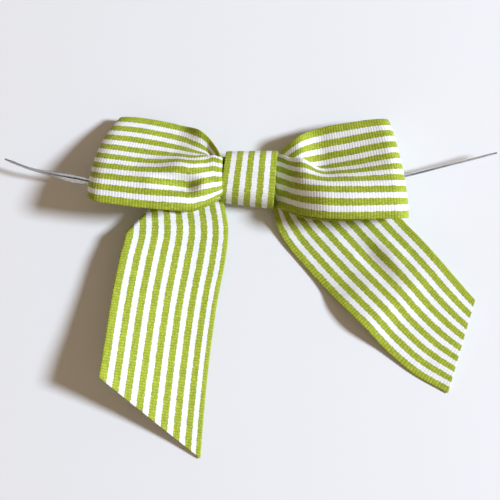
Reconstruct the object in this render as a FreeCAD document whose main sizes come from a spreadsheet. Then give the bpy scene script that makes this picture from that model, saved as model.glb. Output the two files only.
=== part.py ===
"""Pre-made gift bow: two loops, two tails, a centre band and a clear twist tie.

Millimetres.  The bow lies on its back: +Z is its front, +X runs to the right loop, +Y to the top of
the bow.  The origin is on the resting plane, under the middle of the centre band.
"""
import FreeCAD, Part
import math
import os
import Sketcher
from FreeCAD import Rotation, Vector

DIMENSIONS = {
    # ribbon stock
    "ribbon_width": 22.2,
    "ribbon_gauge": 0.45,
    "soft_gauge": 0.6,
    # centre band, a narrower ribbon wrapped round the knot
    "band_width": 10.8,
    "knot_reach": 4.9,
    "knot_depth": 8.6,
    "knot_corner": 2.6,
    "lap_length": 6.0,
    "lap_sunk": 0.225,
    # gathered ribbon inside the band
    "waist_half_length": 5.3,
    "waist_half_width": 4.35,
    "tail_waist_corner": 1.0,
    "loop_waist_corner": 2.0,
    "tail_waist_back": 1.95,
    "tail_waist_front": 3.6,
    "loop_waist_back": 3.65,
    "loop_waist_front": 8.1,
    # thread wound round the gathered ribbon
    "thread_diameter": 0.35,
    "thread_pitch": 0.4,
    "thread_turns": 3,
    "thread_sunk": 0.2,
    "thread_clearance": 0.02,
    # twist tie
    "wire_diameter": 0.45,
    "film_width": 2.0,
    "film_gauge": 0.16,
    "film_cover": 0.08,
    "tie_level": 1.35,
    "tie_hinge": 6.0,
    "wire_hinge_gap": 0.35,
    "film_hinge_gap": 0.5,
    "middle_wire_gap": 0.15,
    "middle_film_gap": 0.3,
    "tie_rise": 3.6,
    "glue_radius": 2.4,
    "glue_back": 0.92,
    "glue_front": 1.92,
    # loops
    "loop_start": 5.75,
    "loop_root_back": 3.9,
    "loop_root_front": 7.9,
    "loop_root_half": 4.2,
    "loop_root_wall": 0.72,
    "loop_shoulder_out": 10.5,
    "loop_shoulder_front": 9.8,
    "loop_hollow_out": 10.0,
    "loop_inset": 1.0,
    "loop_end_back": 4.4,
    "loop_end_front": 10.6,
    # loops seen from the front: how far out each edge reaches its full breadth, and on the way
    "loop_root_rise": 0.6,
    "loop_bottom_out": 16.8,
    "loop_bottom_step": 1.2,
    "loop_top_out": 19.95,
    "loop_neck_out": 12.075,
    "loop_top_step": 2.0,
    "loop_plan_reach": 40.0,
    "left_loop_top": 12.9,
    "left_loop_bottom": 7.7,
    "left_loop_top_reach": 26.7,
    "left_loop_bottom_reach": 32.3,
    "right_loop_top": 11.9,
    "right_loop_bottom": 9.2,
    "right_loop_top_reach": 28.3,
    "right_loop_bottom_reach": 31.6,
    # how far a cutting tool runs past what it cuts
    "cut_overrun": 1.0,
}

# Where each tail's two edges pass, from the fold behind the loop to the slanted cut.
# Each station is the inner edge, then the outer edge.
TAIL_STATIONS = {
    "left": [
        ((-5.8, -3.4, 2.9), (-17.0, -3.4, 2.9)),
        ((-5.7, -5.6, 2.7), (-21.5, -6.4, 3.2)),
        ((-4.3, -10.8, 1.9), (-25.0, -12.0, 4.4)),
        ((-6.2, -23.2, 0.8), (-27.3, -24.5, 6.0)),
        ((-9.8, -55.6, 0.35), (-30.0, -41.0, 8.8)),
    ],
    "right": [
        ((5.8, -3.4, 2.9), (23.5, -3.4, 2.9)),
        ((5.6, -6.2, 2.9), (25.2, -4.4, 3.0)),
        ((9.8, -15.8, 1.7), (27.4, -5.8, 2.8)),
        ((15.4, -21.9, 1.8), (30.8, -9.3, 3.0)),
        ((24.5, -31.4, 2.8), (39.7, -17.9, 3.9)),
        ((39.8, -42.6, 0.5), (45.2, -24.5, 2.6)),
    ],
}

# Each twist tie leg seen from above: distance out from its hinge, distance up, and the bend's radius.
LEG_BENDS = {
    "left": [(22.5, -0.9, 24.0), (37.4, 2.1, 10.0), (42.9, 4.1, 0.0)],
    "right": [(17.5, -1.0, 24.0), (30.0, 2.1, 30.0), (43.8, 5.5, 0.0)],
}

TOLERANCE = 1e-3
SIDES = {"left": -1, "right": 1}
EDGES = ("inner", "outer")
AXES = ("x", "y", "z")

doc = FreeCAD.newDocument("gift_bow")


# ---------------------------------------------------------------- dimensions

def make_sheet():
    """Put every driving dimension in the spreadsheet, one alias to a cell."""
    sheet = doc.addObject("Spreadsheet::Sheet", "Dims")
    values = dict(DIMENSIONS)
    for side, stations in TAIL_STATIONS.items():
        for number, station in enumerate(stations):
            for edge, point in zip(EDGES, station):
                for axis, value in zip(AXES, point):
                    values[f"{side}_tail_{number}_{edge}_{axis}"] = value
    for side, bends in LEG_BENDS.items():
        for number, bend in enumerate(bends):
            for name, value in zip(("out", "up", "radius"), bend):
                values[f"{side}_leg_{number}_{name}"] = value
    for row, (alias, value) in enumerate(values.items(), start=1):
        sheet.set(f"A{row}", alias)
        sheet.set(f"B{row}", str(value))
        sheet.setAlias(f"B{row}", alias)
    doc.recompute()
    return sheet


dims = make_sheet()


def dim(alias):
    """One number from the sheet."""
    return float(dims.get(alias))


# ------------------------------------------------------------------- helpers

def origin_plane(body, role):
    for feature in body.Origin.OriginFeatures:
        if feature.Role == role:
            return feature
    raise ValueError(role)


def new_body(name):
    body = doc.addObject("PartDesign::Body", name)
    body.Label = name
    return body


def new_sketch(body, name, plane):
    sketch = body.newObject("Sketcher::SketchObject", name)
    sketch.AttachmentSupport = (origin_plane(body, plane), "")
    sketch.MapMode = "FlatFace"
    doc.recompute()
    return sketch


def value_of(owner, expression):
    """The number an expression gives now."""
    result = owner.evalExpression(expression)
    return float(getattr(result, "Value", result))


def bind_point(sketch, geometry, vertex, along, up):
    """Hold one vertex at two expressions, measured from the sketch's origin."""
    for kind, expression in (("DistanceX", along), ("DistanceY", up)):
        value = value_of(sketch, expression)
        index = sketch.addConstraint(Sketcher.Constraint(kind, -1, 1, geometry, vertex, value))
        sketch.setExpression(f"Constraints[{index}]", expression)


def outline(sketch, corners):
    """Close a polygon through corners, each a pair of expressions; a third entry, 'round', makes
    the edge that follows the corner a half circle to the next one."""
    points = [Vector(value_of(sketch, c[0]), value_of(sketch, c[1]), 0) for c in corners]
    turn = math.copysign(1, sum(a.x * b.y - b.x * a.y for a, b in zip(points, points[1:] + points[:1])))
    start, end = [], []
    for number, corner in enumerate(corners):
        here, there = points[number], points[(number + 1) % len(points)]
        if len(corner) == 3:
            centre = (here + there) / 2
            first = (here if turn > 0 else there) - centre
            angle = math.atan2(first.y, first.x)
            circle = Part.Circle(centre, Vector(0, 0, 1), first.Length)
            edge = sketch.addGeometry(Part.ArcOfCircle(circle, angle, angle + math.pi), False)
            start.append((edge, 1 if turn > 0 else 2))
            end.append((edge, 2 if turn > 0 else 1))
        else:
            edge = sketch.addGeometry(Part.LineSegment(here, there), False)
            start.append((edge, 1))
            end.append((edge, 2))
    for number, corner in enumerate(corners):
        sketch.addConstraint(Sketcher.Constraint("Coincident", *end[number - 1], *start[number]))
        bind_point(sketch, *start[number], corner[0], corner[1])
        if len(corner) == 3:
            edge = start[number][0]
            value = value_of(sketch, corner[0])
            index = sketch.addConstraint(Sketcher.Constraint("DistanceX", -1, 1, edge, 3, value))
            sketch.setExpression(f"Constraints[{index}]", corner[0])


def rectangle(sketch, left, right, bottom, top):
    outline(sketch, [(left, bottom), (right, bottom), (right, top), (left, top)])


def pad_both_ways(body, sketch, name, length):
    pad = body.newObject("PartDesign::Pad", name)
    pad.Profile = sketch
    pad.Midplane = True
    pad.setExpression("Length", length)
    doc.recompute()
    return pad


def edges_along_x(shape, keep):
    """Names of the straight edges parallel to X whose middle passes keep."""
    names = []
    for number, edge in enumerate(shape.Edges, start=1):
        run = edge.Vertexes[-1].Point - edge.Vertexes[0].Point
        if math.hypot(run.y, run.z) < TOLERANCE < abs(run.x) and keep(edge.CenterOfMass):
            names.append(f"Edge{number}")
    return names


def round_edges(body, base, name, keep, radius):
    fillet = body.newObject("PartDesign::Fillet", name)
    fillet.Base = (base, edges_along_x(base.Shape, keep))
    fillet.setExpression("Radius", radius)
    doc.recompute()
    return fillet


# ---------------------------------------------------------------- centre band

def rounded_block(name, side, bottom, top, length, radius):
    """A block along X with its four long edges rounded."""
    body = new_body(name)
    section = new_sketch(body, f"{name}_section", "YZ_Plane")
    rectangle(section, f"-({side})", side, bottom, top)
    pad = pad_both_ways(body, section, f"{name}_pad", length)
    round_edges(body, pad, f"{name}_round", lambda middle: True, radius)
    return body


def make_center_band():
    """A narrow ribbon wrapped once round the knot, its end lapped and glued inside the back."""
    gauge = "Dims.ribbon_gauge"
    wrap = doc.addObject("Part::Cut", "band_wrap")
    wrap.Base = rounded_block("band_outside", "Dims.knot_reach", "0", "Dims.knot_depth",
                              "Dims.band_width", "Dims.knot_corner")
    wrap.Tool = rounded_block("band_inside", f"Dims.knot_reach - {gauge}", gauge,
                              f"Dims.knot_depth - {gauge}",
                              "Dims.band_width + 2 * Dims.cut_overrun",
                              f"Dims.knot_corner - {gauge}")
    lap = doc.addObject("Part::Box", "band_lap")
    lap.setExpression("Length", "Dims.band_width")
    lap.setExpression("Width", "Dims.lap_length")
    lap.setExpression("Height", f"{gauge} + Dims.lap_sunk")
    lap.setExpression("Placement.Base.x", "-Dims.band_width / 2")
    lap.setExpression("Placement.Base.y", "-Dims.lap_length / 2")
    lap.setExpression("Placement.Base.z", f"{gauge} - Dims.lap_sunk")
    band = doc.addObject("Part::Fuse", "center_band")
    band.Label = "center_band"
    band.Base = wrap
    band.Tool = lap
    doc.recompute()
    return band


# -------------------------------------------------------- gathered ribbon waist

def make_waist(name, back, front, round_at, corner, bed):
    """Ribbon gathered to the knot's width, with a bed where the thread bites into it."""
    body = new_body(f"{name}_gathered")
    section = new_sketch(body, f"{name}_section", "YZ_Plane")
    rectangle(section, "-Dims.waist_half_width", "Dims.waist_half_width", back, front)
    pad = pad_both_ways(body, section, f"{name}_pad", "2 * Dims.waist_half_length")
    level = value_of(body, round_at)
    round_edges(body, pad, f"{name}_round", lambda middle: abs(middle.z - level) < TOLERANCE, corner)
    waist = doc.addObject("Part::Cut", name)
    waist.Label = name
    waist.Base = body
    waist.Tool = bed
    return waist


def make_thread(name, swell):
    """Turns of thread round both waists, each a closed ring; swell thickens them."""
    radius = dim("thread_diameter") / 2
    reach = dim("waist_half_width") - dim("thread_sunk")
    back = dim("tail_waist_back") + dim("thread_sunk")
    front = dim("loop_waist_front") - dim("thread_sunk")
    bend = dim("loop_waist_corner") - dim("thread_sunk")
    turns = int(dim("thread_turns"))
    rings = []
    for number in range(turns):
        x = (number - (turns - 1) / 2) * dim("thread_pitch")
        profile = Part.Wire(Part.makeCircle(radius + swell, Vector(x, 0, front), Vector(0, 1, 0)))
        rings.append(rounded_rectangle(x, reach, back, front, bend).makePipeShell([profile], True, False))
    thread = doc.addObject("Part::Feature", name)
    thread.Label = name
    thread.Shape = Part.makeCompound(rings) if swell == 0 else rings[0].fuse(rings[1:])
    return thread


def rounded_rectangle(x, reach, back, front, bend):
    """A closed wire in the plane at x, starting at the middle of its front side."""
    half = math.sqrt(0.5) * bend
    corners = [(reach, front, -1, -1), (reach, back, -1, 1), (-reach, back, 1, 1), (-reach, front, 1, -1)]
    edges = []
    here = Vector(x, 0, front)
    for y, z, to_y, to_z in corners:
        centre = Vector(x, y + to_y * bend, z + to_z * bend)
        on_z = Vector(x, centre.y, z)
        on_y = Vector(x, y, centre.z)
        first, last = (on_z, on_y) if here.z == z else (on_y, on_z)
        middle = centre - Vector(0, to_y * half, to_z * half)
        edges.append(Part.LineSegment(here, first).toShape())
        edges.append(Part.Arc(first, middle, last).toShape())
        here = last
    edges.append(Part.LineSegment(here, Vector(x, 0, front)).toShape())
    return Part.Wire(edges)


# ------------------------------------------------------------------ twist tie

def film_outline(half_width, half_gauge, bulge):
    """The film's section as points and arcs in the YZ plane: flat wings, and a swelling over the wire."""
    root = math.sqrt(bulge ** 2 - half_gauge ** 2)
    corners = [Vector(0, -half_width, half_gauge), Vector(0, -root, half_gauge),
               Vector(0, root, half_gauge), Vector(0, half_width, half_gauge),
               Vector(0, half_width, -half_gauge), Vector(0, root, -half_gauge),
               Vector(0, -root, -half_gauge), Vector(0, -half_width, -half_gauge)]
    edges = [
        Part.LineSegment(corners[0], corners[1]),
        Part.Arc(corners[1], Vector(0, 0, bulge), corners[2]),
        Part.LineSegment(corners[2], corners[3]),
        Part.LineSegment(corners[3], corners[4]),
        Part.LineSegment(corners[4], corners[5]),
        Part.Arc(corners[5], Vector(0, 0, -bulge), corners[6]),
        Part.LineSegment(corners[6], corners[7]),
        Part.LineSegment(corners[7], corners[0]),
    ]
    return Part.Wire([edge.toShape() for edge in edges])


def film_section(start):
    """The film's section standing at start, facing along X."""
    bulge = dim("wire_diameter") / 2 + dim("film_cover")
    section = film_outline(dim("film_width") / 2, dim("film_gauge") / 2, bulge)
    section.translate(start)
    return section


def wire_section(start):
    return Part.Wire(Part.makeCircle(dim("wire_diameter") / 2, start, Vector(1, 0, 0)))


def sweep(section, path):
    """A closed solid of one section carried along a path that stays in the XY plane."""
    return path.makePipeShell([section], True, False)


def bent_path(points, radii):
    """Straight runs through the points, joined by arcs of the given radii at the inner ones."""
    edges = []
    here = points[0]
    for number in range(1, len(points) - 1):
        before = (points[number] - points[number - 1]).normalize()
        after = (points[number + 1] - points[number]).normalize()
        turn = before.getAngle(after)
        setback = radii[number - 1] * math.tan(turn / 2)
        enter = points[number] - before * setback
        leave = points[number] + after * setback
        inward = (after - before).normalize()
        centre = points[number] + inward * (radii[number - 1] / math.cos(turn / 2))
        middle = centre - inward * radii[number - 1]
        edges.append(Part.LineSegment(here, enter).toShape())
        edges.append(Part.Arc(enter, middle, leave).toShape())
        here = leave
    edges.append(Part.LineSegment(here, points[-1]).toShape())
    return Part.Wire(edges)


def leg_path(side, start):
    """The tie leg's centre line from start, seen from above, running out from the hinge at (0, 0)."""
    points, radii = [Vector(start, 0, 0)], []
    for number in range(len(LEG_BENDS[side])):
        name = f"{side}_leg_{number}"
        points.append(Vector(dim(f"{name}_out"), dim(f"{name}_up"), 0))
        radii.append(dim(f"{name}_radius"))
    return bent_path(points, radii)


def place_leg(leg, side):
    """Stand a leg at its hinge, its tip raised, on its own side."""
    rise = Rotation(Vector(0, 1, 0), -dim("tie_rise"))
    if side == "left":
        leg.Shape = leg.Shape.mirror(Vector(0, 0, 0), Vector(1, 0, 0))
        rise = rise.inverted()
    hinge = Vector(SIDES[side] * dim("tie_hinge"), 0, dim("tie_level"))
    leg.Placement = FreeCAD.Placement(hinge, rise)


def make_tie_leg(side):
    """One free end of the twist tie: the wire, and the film laminated round it."""
    legs = []
    for name, gap, section in (("wire", "wire_hinge_gap", wire_section),
                               ("film", "film_hinge_gap", film_section)):
        start = dim(gap)
        solid = sweep(section(Vector(start, 0, 0)), leg_path(side, start))
        if name == "film":
            early = start - dim("cut_overrun")
            bore = sweep(wire_section(Vector(early, 0, 0)), leg_path(side, early))
            solid = solid.cut(bore)
        leg = doc.addObject("Part::Feature", f"{side}_tie_{name}")
        leg.Label = f"{side}_tie_{name}"
        leg.Shape = solid
        place_leg(leg, side)
        legs.append(leg)
    return legs


def make_tie_middle():
    """The stretch of tie that lies flat across the back of the knot."""
    wire = doc.addObject("Part::Cylinder", "middle_tie_wire")
    wire.Label = "middle_tie_wire"
    wire.setExpression("Radius", "Dims.wire_diameter / 2")
    wire.setExpression("Height", "2 * (Dims.tie_hinge - Dims.middle_wire_gap)")
    wire.Placement.Rotation = Rotation(Vector(0, 1, 0), 90)
    wire.setExpression("Placement.Base.x", "-(Dims.tie_hinge - Dims.middle_wire_gap)")
    wire.setExpression("Placement.Base.z", "Dims.tie_level")

    half = dim("tie_hinge") - dim("middle_film_gap")
    strip = Part.Face(film_section(Vector(-half, 0, 0))).extrude(Vector(2 * half, 0, 0))
    bore = Part.Face(wire_section(Vector(-half, 0, 0))).extrude(Vector(2 * half, 0, 0))
    film = doc.addObject("Part::Feature", "middle_tie_film")
    film.Label = "middle_tie_film"
    film.Shape = strip.cut(bore)
    film.Placement.Base = Vector(0, 0, dim("tie_level"))
    return wire, film


def make_glue_dot(wire, film):
    """Hot-melt glue that closes the band's lap and holds the tie under the knot."""
    dot = doc.addObject("Part::Cylinder", "glue_blob")
    dot.setExpression("Radius", "Dims.glue_radius")
    dot.setExpression("Height", "Dims.glue_front - Dims.glue_back")
    dot.setExpression("Placement.Base.z", "Dims.glue_back")
    tie = doc.addObject("Part::Fuse", "glued_tie")
    tie.Base = wire
    tie.Tool = film
    glue = doc.addObject("Part::Cut", "glue_dot")
    glue.Label = "glue_dot"
    glue.Base = dot
    glue.Tool = tie
    return glue


# ---------------------------------------------------------------------- loops

def make_loop(side):
    """One loop of ribbon: a hollow band seen from its edge, pulled in at the waist.

    The edge-on outline is carried from the loop's bottom edge to its top edge along a slanting line,
    because the outer end leans, then trimmed to the loop's outline seen from the front."""
    sign = SIDES[side]
    cell = f"Dims.{side}_loop_"
    outer = doc.addObject("Sketcher::SketchObject", f"{side}_loop_outer")
    inner = doc.addObject("Sketcher::SketchObject", f"{side}_loop_inner")
    reach = f"({cell}bottom_reach - (Dims.loop_end_front - Dims.loop_end_back) / 2)"
    outline(outer, [
        (f"{sign} * Dims.loop_start / 2", "Dims.loop_root_back"),
        (f"{sign} * {reach}", "Dims.loop_end_back", "round"),
        (f"{sign} * {reach}", "Dims.loop_end_front"),
        (f"{sign} * Dims.loop_shoulder_out", "Dims.loop_shoulder_front"),
        (f"{sign} * Dims.loop_start / 2", "Dims.loop_root_front"),
    ])
    gauge = "Dims.soft_gauge"
    outline(inner, [
        (f"{sign} * Dims.loop_hollow_out", "Dims.loop_root_back + Dims.loop_root_wall"),
        (f"{sign} * {reach}", f"Dims.loop_end_back + {gauge}", "round"),
        (f"{sign} * {reach}", f"Dims.loop_end_front - {gauge}"),
        (f"{sign} * (Dims.loop_shoulder_out + Dims.loop_inset)", f"Dims.loop_shoulder_front - {gauge}"),
    ])
    lean = Vector(sign * (dim(f"{side}_loop_top_reach") - dim(f"{side}_loop_bottom_reach")),
                  dim(f"{side}_loop_top") + dim(f"{side}_loop_bottom"), 0)
    solids = []
    for sketch, name, overrun in ((outer, "block", 0.0), (inner, "hollow", dim("cut_overrun"))):
        sketch.Placement.Rotation = Rotation(Vector(1, 0, 0), 90)
        sketch.Placement.Base = Vector(0, -dim(f"{side}_loop_bottom"), 0) - lean * (overrun / lean.y)
        run = doc.addObject("Part::Extrusion", f"{side}_loop_{name}")
        run.Base = sketch
        run.DirMode = "Custom"
        run.Dir = lean
        run.LengthFwd = lean.Length * (1 + 2 * overrun / lean.y)
        run.Solid = True
        solids.append(run)
    ring = doc.addObject("Part::Cut", f"{side}_loop_ring")
    ring.Base, ring.Tool = solids

    plan = doc.addObject("Sketcher::SketchObject", f"{side}_loop_plan")
    outline(plan, [
        (f"{sign} * Dims.loop_start", "-Dims.loop_root_half"),
        (f"{sign} * Dims.loop_shoulder_out", f"-({cell}bottom - Dims.loop_bottom_step)"),
        (f"{sign} * Dims.loop_bottom_out", f"-{cell}bottom"),
        (f"{sign} * Dims.loop_plan_reach", f"-{cell}bottom"),
        (f"{sign} * Dims.loop_plan_reach", f"{cell}top"),
        (f"{sign} * Dims.loop_top_out", f"{cell}top"),
        (f"{sign} * Dims.loop_neck_out", f"{cell}top - Dims.loop_top_step"),
        (f"{sign} * Dims.loop_start", "Dims.loop_root_half + Dims.loop_root_rise"),
    ])
    prism = doc.addObject("Part::Extrusion", f"{side}_loop_prism")
    prism.Base = plan
    prism.DirMode = "Custom"
    prism.Dir = Vector(0, 0, 1)
    prism.setExpression("LengthFwd", "2 * Dims.knot_depth")
    prism.Solid = True
    loop = doc.addObject("Part::Common", f"{side}_loop")
    loop.Label = f"{side}_loop"
    loop.Base, loop.Tool = ring, prism
    return loop


# ---------------------------------------------------------------------- tails

def tail_point(side, number, edge):
    return Vector(*(dim(f"{side}_tail_{number}_{edge}_{axis}") for axis in AXES))


def make_tail(side):
    """One tail: a strip of ribbon's width, lofted between its two edges with a plain thickness."""
    count = len(TAIL_STATIONS[side])
    pairs = [tuple(tail_point(side, number, edge) for edge in EDGES) for number in range(count)]
    middles = [(inner + outer) / 2 for inner, outer in pairs]
    sections = []
    for number, (inner, outer) in enumerate(pairs):
        ahead = middles[min(number + 1, count - 1)] - middles[max(number - 1, 0)]
        face = (outer - inner).cross(ahead).normalize() * (dim("soft_gauge") / 2)
        corners = [inner - face, outer - face, outer + face, inner + face]
        sections.append(Part.makePolygon(corners + corners[:1]))
    tail = doc.addObject("Part::Feature", f"{side}_tail")
    tail.Label = f"{side}_tail"
    tail.Shape = Part.makeLoft(sections, True, True)
    return tail


# ------------------------------------------------------------- build and write

def build():
    thread = make_thread("gather_thread", 0)
    bed = make_thread("thread_bed", dim("thread_clearance"))
    nodes = [
        make_center_band(),
        make_waist("tail_waist", "Dims.tail_waist_back", "Dims.tail_waist_front",
                   "Dims.tail_waist_back", "Dims.tail_waist_corner", bed),
        make_waist("loop_waist", "Dims.loop_waist_back", "Dims.loop_waist_front",
                   "Dims.loop_waist_front", "Dims.loop_waist_corner", bed),
        thread,
    ]
    wire, film = make_tie_middle()
    nodes += [wire, film, make_glue_dot(wire, film)]
    for side in SIDES:
        nodes.append(make_loop(side))
        nodes.append(make_tail(side))
        nodes += make_tie_leg(side)
    return nodes


def check(nodes):
    """Stop on any failed object or bad solid, before anything is written."""
    for thing in doc.Objects:
        if {"Invalid", "Error"} & set(thing.State):
            raise RuntimeError(f"{thing.Name} failed: {thing.State}")
    for node in nodes:
        if node.Shape.isNull() or not node.Shape.isValid() or not node.Shape.Solids:
            raise RuntimeError(f"{node.Label} is not a valid solid")


nodes = build()
doc.recompute()
check(nodes)
os.makedirs("parts", exist_ok=True)
for node in nodes:
    node.Shape.exportStep(f"parts/{node.Label}.step")
    box = node.Shape.BoundBox
    print(f"{node.Label:18s} {node.Shape.Volume:9.3f} mm3  "
          f"x {box.XMin:7.2f} {box.XMax:7.2f}  y {box.YMin:7.2f} {box.YMax:7.2f}  "
          f"z {box.ZMin:6.2f} {box.ZMax:6.2f}  solids {len(node.Shape.Solids)}")
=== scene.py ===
import math

import bpy
import numpy as np
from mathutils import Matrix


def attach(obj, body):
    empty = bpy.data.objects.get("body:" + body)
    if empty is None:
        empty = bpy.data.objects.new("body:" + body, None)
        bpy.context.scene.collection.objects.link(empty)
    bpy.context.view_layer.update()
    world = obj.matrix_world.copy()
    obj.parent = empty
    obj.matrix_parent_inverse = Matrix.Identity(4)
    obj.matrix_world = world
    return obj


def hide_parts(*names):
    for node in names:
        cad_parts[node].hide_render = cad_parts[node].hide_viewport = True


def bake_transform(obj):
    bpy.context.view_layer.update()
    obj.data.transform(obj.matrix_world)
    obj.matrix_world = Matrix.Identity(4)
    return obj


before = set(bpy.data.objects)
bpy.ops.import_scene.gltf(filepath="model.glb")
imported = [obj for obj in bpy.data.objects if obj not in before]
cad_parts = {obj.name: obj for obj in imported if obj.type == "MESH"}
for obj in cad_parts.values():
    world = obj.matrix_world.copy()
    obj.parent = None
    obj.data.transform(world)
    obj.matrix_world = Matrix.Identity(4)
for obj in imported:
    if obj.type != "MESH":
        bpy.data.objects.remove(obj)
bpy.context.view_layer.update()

MM = 0.001
SIDES = {"left": -1.0, "right": 1.0}

# The ribbon: a ribbed, warp-faced weave with nine green and eight white stripes. All in millimetres.
RIBBON_WIDTH = 22.0
EDGE_STRIPE = 1.5
GREEN_STRIPE = 1.39
WHITE_STRIPE = 1.16
STRIPE_REPEAT = GREEN_STRIPE + WHITE_STRIPE
RIB_PITCH = 0.57
FLOAT_WIDTH = 0.15
CORE_HALF = 0.13
RIB_HALF = 0.032

# Each rib stands out past the selvedge by the tooth, and over the last SELVEDGE_ROUND mm the ribbon
# thins to SELVEDGE_THIN of its thickness.
SELVEDGE_TOOTH = 0.07
SELVEDGE_ROUND = 0.22
SELVEDGE_THIN = 0.45

# Its mesh: rows to a rib, columns across, and how much closer together the columns lie, and within
# what distance, beside the selvedges and round a fold.
ROWS_PER_RIB = 5
COLUMNS = 76
STEPS_PER_COLUMN = 8
SELVEDGE_DENSITY = 1.5
SELVEDGE_REACH = 0.5
FOLD_DENSITY = 1.6
FOLD_REACH = 2.2

# How far out the loops leave the centre band, in mm.
BAND_EDGE = 5.5


def smooth(place):
    """From 0 to 1 with level ends."""
    place = np.clip(place, 0.0, 1.0)
    return place * place * (3.0 - 2.0 * place)


def through(knots, values, place):
    """A smooth line through the values, which lie at the knots."""
    knots = np.asarray(knots, float)
    values = np.asarray(values, float)
    place = np.clip(place, knots[0], knots[-1])
    slopes = np.gradient(values, knots, axis=0)
    cell = np.clip(np.searchsorted(knots, place, side="right") - 1, 0, len(knots) - 2)
    width = knots[cell + 1] - knots[cell]
    part = (place - knots[cell]) / width
    if values.ndim > 1:
        width = width[..., None]
        part = part[..., None]
    rise = 3.0 * part**2 - 2.0 * part**3
    leave = part - 2.0 * part**2 + part**3
    arrive = part**3 - part**2
    line = values[cell] * (1.0 - rise) + values[cell + 1] * rise
    return line + width * (slopes[cell] * leave + slopes[cell + 1] * arrive)


def chords(points):
    """How far each point is along the straight runs between them."""
    points = np.asarray(points, float)
    runs = np.linalg.norm(np.diff(points, axis=0), axis=1)
    return np.concatenate([[0.0], np.cumsum(runs)])


def unit(vectors):
    """The same directions at length 1."""
    return vectors / np.maximum(np.linalg.norm(vectors, axis=-1, keepdims=True), 1e-12)


def bell(place, middle, reach):
    """1 at the middle, falling to nothing a couple of reaches away."""
    return np.exp(-(((place - middle) / reach) ** 2))


def placed(name, data):
    """A new object in the scene."""
    thing = bpy.data.objects.new(name, data)
    bpy.context.scene.collection.objects.link(thing)
    return thing


def mesh_piece(name, points, faces, smoothed=True):
    """A mesh object from points in mm."""
    mesh = bpy.data.meshes.new(name)
    mesh.from_pydata((points * MM).tolist(), [], faces)
    mesh.validate()
    if smoothed:
        mesh.shade_smooth()
    return placed(name, mesh)


# ---------------------------------------------------------------- ribbon mesh


def rib_rows(length):
    """Distances along the ribbon with a row on every valley between two ribs."""
    ribs = max(1, round(length / RIB_PITCH))
    return np.linspace(0.0, ribs * RIB_PITCH, ribs * ROWS_PER_RIB + 1)


def rib_profile(distance):
    """From 0 in the valleys to 1 on the crests, as half circles."""
    part = np.mod(distance / RIB_PITCH, 1.0)
    return np.sqrt(np.clip(1.0 - (2.0 * part - 1.0) ** 2, 0.0, 1.0))


def cross_columns(width, fold_at=None):
    """Distances across the ribbon, closer together at both selvedges and round a fold."""
    steps = COLUMNS * STEPS_PER_COLUMN
    place = (np.arange(steps) + 0.5) / steps * width
    near_start = SELVEDGE_DENSITY * bell(place, 0.0, SELVEDGE_REACH)
    near_end = SELVEDGE_DENSITY * bell(place, width, SELVEDGE_REACH)
    density = 1.0 + (near_start + near_end)
    if fold_at is not None:
        density += FOLD_DENSITY * bell(place, fold_at, FOLD_REACH)
    run = np.concatenate([[0.0], np.cumsum(density)])
    run /= run[-1]
    return np.interp(np.linspace(0.0, 1.0, COLUMNS + 1), run, np.linspace(0.0, width, steps + 1))


def toothed(middle, ribs):
    """The middle surface with each rib's ends pushed out a little at the selvedges."""
    middle = middle.copy()
    for edge, inner in ((0, 1), (-1, -2)):
        outward = unit(middle[:, edge] - middle[:, inner])
        middle[:, edge] += outward * (SELVEDGE_TOOTH * ribs[:, edge, None])
    return middle


def slab_faces(rows, columns):
    """Quads over a front layer of points, the back layer that follows it, and the rim between."""
    front = np.arange(rows * columns).reshape(rows, columns)
    back = front + rows * columns
    sheets = [
        (front[:-1, :-1], front[1:, :-1], front[1:, 1:], front[:-1, 1:]),
        (back[:-1, :-1], back[:-1, 1:], back[1:, 1:], back[1:, :-1]),
        (front[:-1, 0], back[:-1, 0], back[1:, 0], front[1:, 0]),
        (front[:-1, -1], front[1:, -1], back[1:, -1], back[:-1, -1]),
        (front[0, :-1], front[0, 1:], back[0, 1:], back[0, :-1]),
        (front[-1, :-1], back[-1, :-1], back[-1, 1:], front[-1, 1:]),
    ]
    return np.concatenate([np.stack(corners, -1).reshape(-1, 4) for corners in sheets])


def ribbon_piece(name, middle, distance, across, face=1.0, shift=0.0, stretch=1.0):
    """A closed, ribbed ribbon about a middle surface, given in mm as rows of points.

    Its "cloth" attribute says where each point lies on the weave, along and across it in mm.
    """
    ribs = rib_profile(distance)
    middle = toothed(middle, ribs)
    normal = face * unit(np.cross(np.gradient(middle, axis=0), np.gradient(middle, axis=1)))
    rim = np.minimum(across, across.max() - across)
    rounding = SELVEDGE_THIN + (1.0 - SELVEDGE_THIN) * np.sqrt(np.clip(rim / SELVEDGE_ROUND, 0.0, 1.0))
    thickness = normal * ((CORE_HALF + RIB_HALF * ribs) * rounding)[..., None]
    points = np.concatenate([(middle + thickness).reshape(-1, 3), (middle - thickness).reshape(-1, 3)])
    faces = slab_faces(*middle.shape[:2])
    if face < 0:
        faces = faces[:, ::-1]
    piece = mesh_piece(name, points, faces.tolist())
    cloth = np.zeros((distance.size, 3), np.float32)
    cloth[:, 0] = distance.reshape(-1)
    cloth[:, 1] = shift + across.reshape(-1) * stretch
    attribute = piece.data.attributes.new("cloth", "FLOAT_VECTOR", "POINT")
    attribute.data.foreach_set("vector", np.concatenate([cloth, cloth]).reshape(-1))
    return piece


# ---------------------------------------------------------------- materials

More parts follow.
